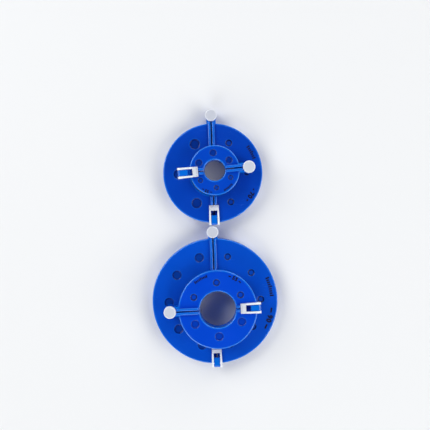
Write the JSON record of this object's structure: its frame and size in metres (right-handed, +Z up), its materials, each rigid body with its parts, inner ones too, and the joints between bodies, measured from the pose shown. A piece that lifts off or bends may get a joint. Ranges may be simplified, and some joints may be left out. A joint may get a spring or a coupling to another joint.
{
  "type": "pompom maker set",
  "caption": "Stacked set of ring-shaped pompom makers: split blue double rings that swing open about a white pivot and close with a white hinged latch.",
  "frame": {"origin": "middle of the set's footprint, on the surface it lies on", "axes": "+Z up out of the dimpled faces, +Y along the row from the largest maker to the next, +X to its right"},
  "size_m": [0.09, 0.1855, 0.0282],
  "materials": {
    "blue_plastic": "glossy moulded",
    "white_plastic": "glossy moulded"
  },
  "bodies": {
    "maker90_pivot": {"maker90_pivot_pin": "white_plastic", "maker90_pivot_cap": "white_plastic"},
    "maker90_marked_arm": {"maker90_front_arch_marked": "blue_plastic", "maker90_back_arch_marked": "blue_plastic"},
    "maker90_plain_arm": {"maker90_front_arch_plain": "blue_plastic", "maker90_back_arch_plain": "blue_plastic"},
    "maker90_latch": {"maker90_latch": "white_plastic"},
    "maker70_pivot": {"maker70_pivot_pin": "white_plastic", "maker70_pivot_cap": "white_plastic"},
    "maker70_marked_arm": {"maker70_front_arch_marked": "blue_plastic", "maker70_back_arch_marked": "blue_plastic"},
    "maker70_plain_arm": {"maker70_front_arch_plain": "blue_plastic", "maker70_back_arch_plain": "blue_plastic"},
    "maker70_latch": {"maker70_latch": "white_plastic"},
    "maker55_pivot": {"maker55_pivot_pin": "white_plastic", "maker55_pivot_cap": "white_plastic"},
    "maker55_marked_arm": {"maker55_front_arch_marked": "blue_plastic", "maker55_back_arch_marked": "blue_plastic"},
    "maker55_plain_arm": {"maker55_front_arch_plain": "blue_plastic", "maker55_back_arch_plain": "blue_plastic"},
    "maker55_latch": {"maker55_latch": "white_plastic"},
    "maker35_pivot": {"maker35_pivot_pin": "white_plastic", "maker35_pivot_cap": "white_plastic"},
    "maker35_marked_arm": {"maker35_front_arch_marked": "blue_plastic", "maker35_back_arch_marked": "blue_plastic"},
    "maker35_plain_arm": {"maker35_front_arch_plain": "blue_plastic", "maker35_back_arch_plain": "blue_plastic"},
    "maker35_latch": {"maker35_latch": "white_plastic"}
  },
  "joints": [
    {"name": "maker90_marked_arm_swing", "type": "hinge", "parent": "maker90_pivot", "child": "maker90_marked_arm", "pos_m": [-0.00173, 0.0048, 0.0059], "axis": [0, 0, 1], "range_deg": [0, 55]},
    {"name": "maker90_plain_arm_swing", "type": "hinge", "parent": "maker90_pivot", "child": "maker90_plain_arm", "pos_m": [-0.00173, 0.0048, 0.0059], "axis": [0, 0, -1], "range_deg": [0, 55]},
    {"name": "maker90_latch_lift", "type": "hinge", "parent": "maker90_marked_arm", "child": "maker90_latch", "pos_m": [0.00161, -0.09064, 0.0123], "axis": [0.9994, 0.0349, 0], "range_deg": [0, 110]},
    {"name": "maker70_marked_arm_swing", "type": "hinge", "parent": "maker70_pivot", "child": "maker70_marked_arm", "pos_m": [-0.00304, 0.08871, 0.0059], "axis": [0, 0, 1], "range_deg": [0, 55]},
    {"name": "maker70_plain_arm_swing", "type": "hinge", "parent": "maker70_pivot", "child": "maker70_plain_arm", "pos_m": [-0.00304, 0.08871, 0.0059], "axis": [0, 0, -1], "range_deg": [0, 55]},
    {"name": "maker70_latch_lift", "type": "hinge", "parent": "maker70_marked_arm", "child": "maker70_latch", "pos_m": [-0.00035, 0.01145, 0.0123], "axis": [0.9994, 0.0349, 0], "range_deg": [0, 110]},
    {"name": "maker55_marked_arm_swing", "type": "hinge", "parent": "maker55_pivot", "child": "maker55_marked_arm", "pos_m": [-0.03135, -0.05057, 0.0201], "axis": [0, 0, 1], "range_deg": [0, 55]},
    {"name": "maker55_plain_arm_swing", "type": "hinge", "parent": "maker55_pivot", "child": "maker55_plain_arm", "pos_m": [-0.03135, -0.05057, 0.0201], "axis": [0, 0, -1], "range_deg": [0, 55]},
    {"name": "maker55_latch_lift", "type": "hinge", "parent": "maker55_marked_arm", "child": "maker55_latch", "pos_m": [0.03046, -0.04723, 0.0265], "axis": [-0.0541, 0.9985, 0], "range_deg": [0, 110]},
    {"name": "maker35_marked_arm_swing", "type": "hinge", "parent": "maker35_pivot", "child": "maker35_marked_arm", "pos_m": [0.02369, 0.05063, 0.0201], "axis": [0, 0, 1], "range_deg": [0, 55]},
    {"name": "maker35_plain_arm_swing", "type": "hinge", "parent": "maker35_pivot", "child": "maker35_plain_arm", "pos_m": [0.02369, 0.05063, 0.0201], "axis": [0, 0, -1], "range_deg": [0, 55]},
    {"name": "maker35_latch_lift", "type": "hinge", "parent": "maker35_marked_arm", "child": "maker35_latch", "pos_m": [-0.02439, 0.046, 0.0265], "axis": [0.0958, -0.9954, 0], "range_deg": [0, 110]},
    {"name": "maker70_lift_off", "type": "slide", "parent": "maker90_pivot", "child": "maker70_pivot", "axis": [0, 0, 1], "range_m": [0, 0.05]},
    {"name": "maker55_lift_off", "type": "slide", "parent": "maker90_pivot", "child": "maker55_pivot", "axis": [0, 0, 1], "range_m": [0, 0.05]},
    {"name": "maker35_lift_off", "type": "slide", "parent": "maker70_pivot", "child": "maker35_pivot", "axis": [0, 0, 1], "range_m": [0, 0.05]}
  ]
}
